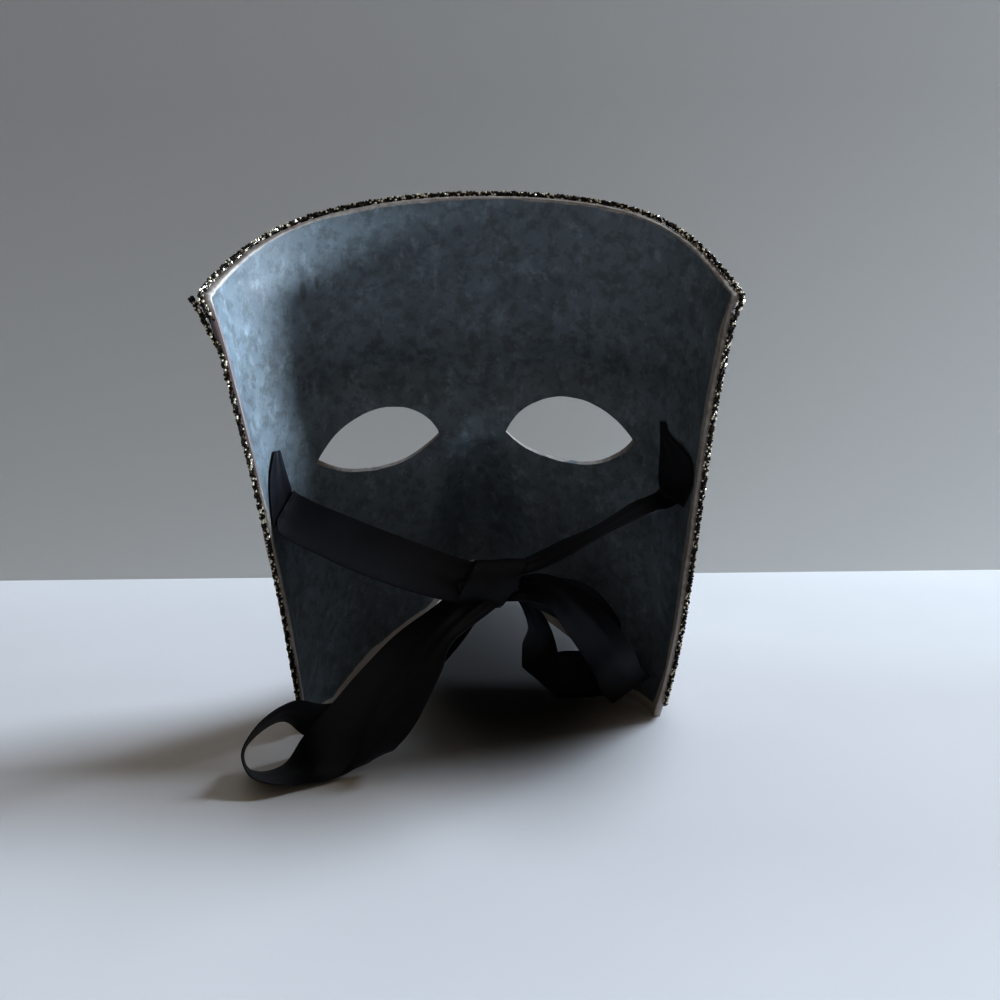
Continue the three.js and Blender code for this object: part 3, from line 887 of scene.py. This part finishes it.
# %% Satin
SATIN_BLACK, SATIN_SHEEN = (0.0068, 0.0068, 0.0100), (0.016, 0.0165, 0.023)
SATIN_SHEEN_PAINT = (0.050, 0.054, 0.062)
RIB_APART, THREAD_APART, SELVEDGE_AT = 0.42, 0.32, (8.55, 8.75)
# Painted sheen: paler patches on the outer folds and a tail end, where the satin reflects light: place
# in mm on the table, half sizes and strength.
SHEEN_PATCHES = (((53, 5, 12), (15, 16, 16), 1.0), ((18, 2, 38), (10, 18, 20), 0.9),
         ((-40, -27, 22), (22, 14, 20), 0.35))


def satin():
    material, tree, shader = new_material("satin")
    place = places_on(tree)
    across, along = number(tree, "across"), number(tree, "along")
    # Fine ribs across the ribbon, and a tighter woven selvedge at each edge.
    rib = sums(tree, "SINE", sums(tree, "MULTIPLY", along, 2 * math.pi / RIB_APART))
    edge = step(tree, sums(tree, "ABSOLUTE", across), *SELVEDGE_AT)
    cord = sums(tree, "SINE", sums(tree, "MULTIPLY", across, 2 * math.pi / THREAD_APART))
    weave = mixed(tree, edge, rib, cord)
    cloud = noise(tree, place, 130, 3, 0.6)
    colour = ramp(tree, cloud, 0.3, 0.75, SATIN_BLACK, SATIN_SHEEN)
    # Each patch is painted sheen: a paler satin colour standing in for reflected light.
    for at, size, strength in SHEEN_PATCHES:
        sheen_patch = soft_spot(tree, place, [value * MM for value in on_table(at)], size)
        colour = mixed(tree, sums(tree, "MULTIPLY", sheen_patch, strength), colour, SATIN_SHEEN_PAINT)
    tree.links.new(colour, shader.inputs["Base Color"])
    tree.links.new(sums(tree, "MULTIPLY_ADD", cloud, 0.2, 0.42), shader.inputs["Roughness"])
    shader.inputs["Specular IOR Level"].default_value = 0.3
    height = sums(tree, "ADD", sums(tree, "MULTIPLY", weave, 0.5), sums(tree, "MULTIPLY", cloud, 3.0))
    bump(tree, shader, height, 0.35, 0.0001)
    return material


SATIN = satin()


# %% A ribbon strip from its pairs
ACROSS = 20
PLEATS = 2
GATHER = 15.0


def strip(pairs, steps=10, thick=0.36, pleats=PLEATS, curl=0.25, seed=1, gather=(0, 0), crease=None):
    """Closed thin strip: points in mm, quads, and each point's across and along in mm.

    gather says how strongly the start and the end are drawn into pleats by the knot. crease is
    a fold along the strip: where it lies across it, and how far the first edge is bent back.
    """
    one, two = (curve_through([pair[k] for pair in pairs], steps) for k in (0, 1))
    middle = (one + two) / 2
    length = np.concatenate([[0], np.cumsum(np.linalg.norm(np.diff(middle, axis=0), axis=1))])
    ahead = np.gradient(middle, axis=0)
    ahead /= np.linalg.norm(ahead, axis=1, keepdims=True)
    straight = np.linalg.norm(two - one - ahead * ((two - one) * ahead).sum(1, keepdims=True), axis=1)
    spare = np.sqrt(np.maximum(RIBBON_WIDE / np.maximum(straight, 5) - 1, 0))
    drawn = np.maximum(gather[0] * bell(length, GATHER), gather[1] * bell(length[-1] - length, GATHER))
    deep = np.minimum(straight / (math.pi * pleats) * spare, 2.2) * (0.1 + 0.9 * drawn)
    share = np.linspace(0, 1, ACROSS + 1)
    grid = one[:, None] * (1 - share[None, :, None]) + two[:, None] * share[None, :, None]
    normal = np.cross(ahead, two - one)
    normal /= np.linalg.norm(normal, axis=1, keepdims=True)
    phase = waves(length, seed, 3, 120)[:, None]
    pleated = np.sin(2 * math.pi * pleats * share[None, :] + phase)
    fold = deep[:, None] * pleated * np.sin(math.pi * share)
    ripple = curl * waves(length, seed + 1, 4, 60)[:, None] * np.abs(2 * share - 1) ** 2
    bent = 0 * fold
    if crease:
        where, depth = crease
        bent = depth * np.maximum(0, 1 - share / where) * (1 - length / length[-1])[:, None] ** 0.5
    grid = grid + normal[:, None] * (fold + ripple + bent)[..., None]
    across_way = np.gradient(grid, axis=1)
    facing = np.cross(np.gradient(grid, axis=0), across_way)
    facing /= np.maximum(np.linalg.norm(facing, axis=-1, keepdims=True), 1e-9)
    rows, columns = grid.shape[:2]
    points = np.concatenate([(grid + facing * thick / 2).reshape(-1, 3),
                             (grid - facing * thick / 2).reshape(-1, 3)])
    index = np.arange(rows * columns).reshape(rows, columns)
    a, b, c, d = index[:-1, :-1], index[1:, :-1], index[1:, 1:], index[:-1, 1:]
    quads = np.stack([a, b, c, d], -1).reshape(-1, 4).tolist()
    quads += (np.stack([a, d, c, b], -1).reshape(-1, 4) + rows * columns).tolist()
    loop = border(index)
    after = np.roll(loop, -1)
    quads += np.stack([loop, loop + rows * columns, after + rows * columns, after], -1).tolist()
    across = np.broadcast_to((share - 0.5) * RIBBON_WIDE, (rows, columns)).reshape(-1)
    along = np.broadcast_to(length[:, None], (rows, columns)).reshape(-1)
    return points, quads, np.tile(np.stack([across, along], -1), (2, 1)), float(length[-1])


def ribbon(name, strips, node_name):
    """All strips of one ribbon as one object; the length it was cut to is printed."""
    points, quads, numbers, total, start = [], [], [], 0.0, 0
    for made in strips:
        points.append(made[0])
        quads += [[k + start for k in quad] for quad in made[1]]
        numbers.append(made[2] + np.array([0, total]))
        total += made[3]
        start += len(made[0])
    obj = mesh_object(name, np.concatenate(points) * MM, quads, SATIN)
    numbers = np.concatenate(numbers)
    keep_number(obj, "across", numbers[:, 0])
    keep_number(obj, "along", numbers[:, 1])
    outward_faces(obj)
    smooth_shading(obj, 50)
    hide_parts(node_name)
    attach(obj, "root")
    print(name, "length, mm:", round(total), "quads:", len(quads))
    return obj


def laid(pairs):
    return [[on_table(p) for p in pair] for pair in pairs]


# %% The knot's wrap
KNOT_AT, KNOT_HALF, KNOT_LEAN = (0.4, -21.5, 58.3), (8.4, 6.3, 7.6), 4.6
HEART_HALF = (9.5, 5.2)


def knot_wrap(turns=1.12, steps=26):
    """The one turn of ribbon that holds the bow, gathered to less than its width."""
    pairs = []
    for k in range(steps + 1):
        angle = math.radians(-60) - 2 * math.pi * turns * k / steps
        grow = 1 + 0.05 * k / steps
        pair = []
        for way in (-1, 1):
            lean = KNOT_LEAN * math.sin(angle)
            pair.append(on_table((KNOT_AT[0] + way * KNOT_HALF[0] + lean,
                                  KNOT_AT[1] + grow * KNOT_HALF[1] * math.cos(angle) * 0.9,
                                  KNOT_AT[2] + grow * KNOT_HALF[2] * math.sin(angle))))
        pairs.append(pair)
    return pairs


def knot_heart():
    """The ribbon packed inside the knot, as a rounded lump."""
    pairs = []
    for share in np.linspace(-1, 1, 9):
        round_off = math.sqrt(max(1 - share * share, 0.02))
        across, half = KNOT_AT[0] + share * HEART_HALF[0], HEART_HALF[1] * round_off
        pairs.append([on_table((across, KNOT_AT[1], KNOT_AT[2] + way * half)) for way in (-1, 1)])
    return pairs


left_strips = [strip([glued_at(-1, pair) for pair in LEFT_GLUED], seed=11, curl=0.05),
               strip(laid(LEFT_BAND), seed=12, gather=(0, 0.4)),
               strip(laid(LEFT_LOOP), seed=13, gather=(0.4, 1)),
               strip(laid(LEFT_TAIL), seed=14, gather=(0.35, 0)),
               strip(knot_wrap(), steps=2, seed=15, pleats=1, curl=0.1, gather=(0.2, 0.2))]
left_ribbon = ribbon("left_ribbon", left_strips, "ribbon_left")

right_strips = [strip([glued_at(1, pair) for pair in RIGHT_GLUED], seed=21, curl=0.05),
                strip(laid(RIGHT_BAND), seed=22, gather=(0, 1)),
                strip(laid(RIGHT_LOOP_FRONT), seed=23, gather=(1, 0)),
                strip(laid(RIGHT_LOOP_BACK), seed=24, gather=(0, 1)),
                strip(laid(RIGHT_TAIL), seed=25, gather=(0.5, 0), crease=(0.36, 3.2)),
                strip(knot_heart(), steps=2, seed=26, thick=8)]
right_ribbon = ribbon("right_ribbon", right_strips, "ribbon_right")

# %% [markdown]
# ## The table, the wall and the light
#
# The photograph looks like soft daylight from the right in a dim warm room. This rig was fitted to
# it by trial, and isn't plain studio light. A low slot of window light lies almost along the
# wall: it slips past the right rim and lights only the left side of the hollow. A larger patch of
# sky from behind lights the table and throws the mask's soft shadow to the left and forward. A
# faint warm world is the rest of the room, and a lamp overhead adds nothing but sheen. The wall
# casts no shadow, so the sky can shine through it. The picture's darks are deep and even, which
# the high contrast look of the view gives.

# %% Table, wall and window
def plain_material(name, colour, rough):
    material, tree, shader = new_material(name)
    place = places_on(tree)
    shade = ramp(tree, noise(tree, place, 9, 2), 0.3, 0.7, [c * 0.97 for c in colour], colour)
    tree.links.new(shade, shader.inputs["Base Color"])
    shader.inputs["Roughness"].default_value = rough
    return material


def wall_paint():
    """Grey paint painted darker upwards: painted shade, as a wall above a pale table gets less light
    higher up.
    """
    material, tree, shader = new_material("wall_grey")
    place = places_on(tree)
    parts = joined(tree, "ShaderNodeSeparateXYZ", {"Vector": place})
    # The ramp up the wall is painted shade.
    shade = ramp(tree, sums(tree, "MULTIPLY", parts.outputs["Z"], 4), 0, 1,
                 (0.450, 0.440, 0.428), (0.350, 0.340, 0.333))
    tree.links.new(shade, shader.inputs["Base Color"])
    # Only its front is painted: from behind one looks through it at the mask's face.
    behind = tree.nodes.new("ShaderNodeNewGeometry").outputs["Backfacing"]
    tree.links.new(sums(tree, "SUBTRACT", 1, behind), shader.inputs["Alpha"])
    shader.inputs["Roughness"].default_value = 0.8
    return material


def slab(name, corners, material):
    obj = mesh_object(name, corners, [(0, 1, 2, 3)], material)
    return obj


TABLE_HALF, WALL_TALL = 3, 2
WALL_LEFT, WALL_RIGHT = (-2.5, 0.42), (0.42, 0.159)
slab("table", [(x * TABLE_HALF, y * TABLE_HALF, 0) for x, y in ((-1, -1), (1, -1), (1, 1), (-1, 1))],
     plain_material("table_white", (0.76, 0.76, 0.77), 0.5))
ends = ((WALL_LEFT, 0), (WALL_RIGHT, 0), (WALL_RIGHT, WALL_TALL), (WALL_LEFT, WALL_TALL))
wall = slab("wall", [(*end, up) for end, up in ends], wall_paint())
wall.visible_shadow = False


def area_light(name, azimuth, elevation, distance, wide, tall, power, colour):
    light = bpy.data.lights.new(name, "AREA")
    light.shape = "RECTANGLE"
    light.size, light.size_y = wide, tall
    light.energy = power
    light.color = colour
    obj = bpy.data.objects.new(name, light)
    scene.collection.objects.link(obj)
    a, e = math.radians(azimuth), math.radians(elevation)
    way = Vector((math.cos(e) * math.cos(a), math.cos(e) * math.sin(a), math.sin(e)))
    obj.location = way * distance
    obj.rotation_euler = way.to_track_quat("Z", "Y").to_euler()
    return obj


# Azimuth and elevation in degrees; distance, width and height in metres; watts; colour.
area_light("window", -10.5, 1.7, 3.0, 0.5, 0.2, 208, (0.77, 0.89, 1.0))
area_light("sky", 13, 46, 5.0, 1.9, 1.4, 204, (0.76, 0.87, 1.0))
ceiling = area_light("ceiling", -90, 84, 3.0, 1.8, 1.8, 10, (0.90, 0.92, 1.0))
ceiling.visible_diffuse = False


# %% [markdown]
# ## Cards that shade the light
#
# A photographer keeps light off a place with cards on stands. These are grey, and the camera
# doesn't see them. Two stand far out to the right and cut the window down to a slot. A narrower one
# between them keeps the window from throwing a bright patch through the right eye hole.
# A thin mat lies just over the table behind the mask and fades out towards its edges. It is a
# makeshift: the dark under the arch comes nearly all from it. Without it these lamps leave the
# table there almost as bright as in front, so for another light take the mat and the cards out.

# %% Shade cards, room and view
# How far out the upright cards stand and where they end at the back, then for each of them its
# front end, its foot and its top; and the mat's middle, half size and height. All in metres.
CARD_OUT, CARD_BACK = 0.5, -0.035
SLOT_LOW, SLOT_HIGH = 0.093, 0.162
CARDS = ((-0.20, 0.0005, SLOT_LOW), (-0.20, SLOT_HIGH, 0.22), (-0.092, SLOT_LOW, SLOT_HIGH))
MAT_MIDDLE, MAT_HALF, MAT_UP = (0.015, 0.068), (0.055, 0.135), 0.0025


def card_paper(thin_edges):
    """Grey card. With thin_edges it is most solid in its middle, so its shadow has no hard edge."""
    material, tree, shader = new_material("card_grey")
    shader.inputs["Base Color"].default_value = (0.4, 0.38, 0.36, 1)
    shader.inputs["Roughness"].default_value = 0.9
    if thin_edges:
        place = places_on(tree)
        middle = soft_spot(tree, place, (*MAT_MIDDLE, 0), [1000 * half for half in MAT_HALF] + [1000])
        tree.links.new(sums(tree, "MULTIPLY", middle, 0.96), shader.inputs["Alpha"])
    return material


def shade_cards():
    corners = [(CARD_OUT, y, z) for front, low, high in CARDS
               for y, z in ((front, low), (CARD_BACK, low), (CARD_BACK, high), (front, high))]
    faces = [[4 * k, 4 * k + 1, 4 * k + 2, 4 * k + 3] for k in range(len(CARDS))]
    sides = [(MAT_MIDDLE[k] - 1.3 * MAT_HALF[k], MAT_MIDDLE[k] + 1.3 * MAT_HALF[k]) for k in (0, 1)]
    mat = [(sides[0][i], sides[1][j], MAT_UP) for i, j in ((0, 0), (1, 0), (1, 1), (0, 1))]
    for name, places, quads, thin in (("shade_cards", corners, faces, False),
                                      ("shade_mat", mat, [(0, 1, 2, 3)], True)):
        obj = mesh_object(name, places, quads, card_paper(thin))
        obj.visible_camera = False


shade_cards()
world = bpy.data.worlds.new("room")
world.use_nodes = True
ROOM_COLOUR, ROOM_STRENGTH = (1.0, 0.83, 0.64, 1), 0.165
background = world.node_tree.nodes["Background"]
background.inputs["Color"].default_value = ROOM_COLOUR
background.inputs["Strength"].default_value = ROOM_STRENGTH
scene.world = world
scene.view_settings.view_transform = "Standard"
scene.view_settings.look = "High Contrast"
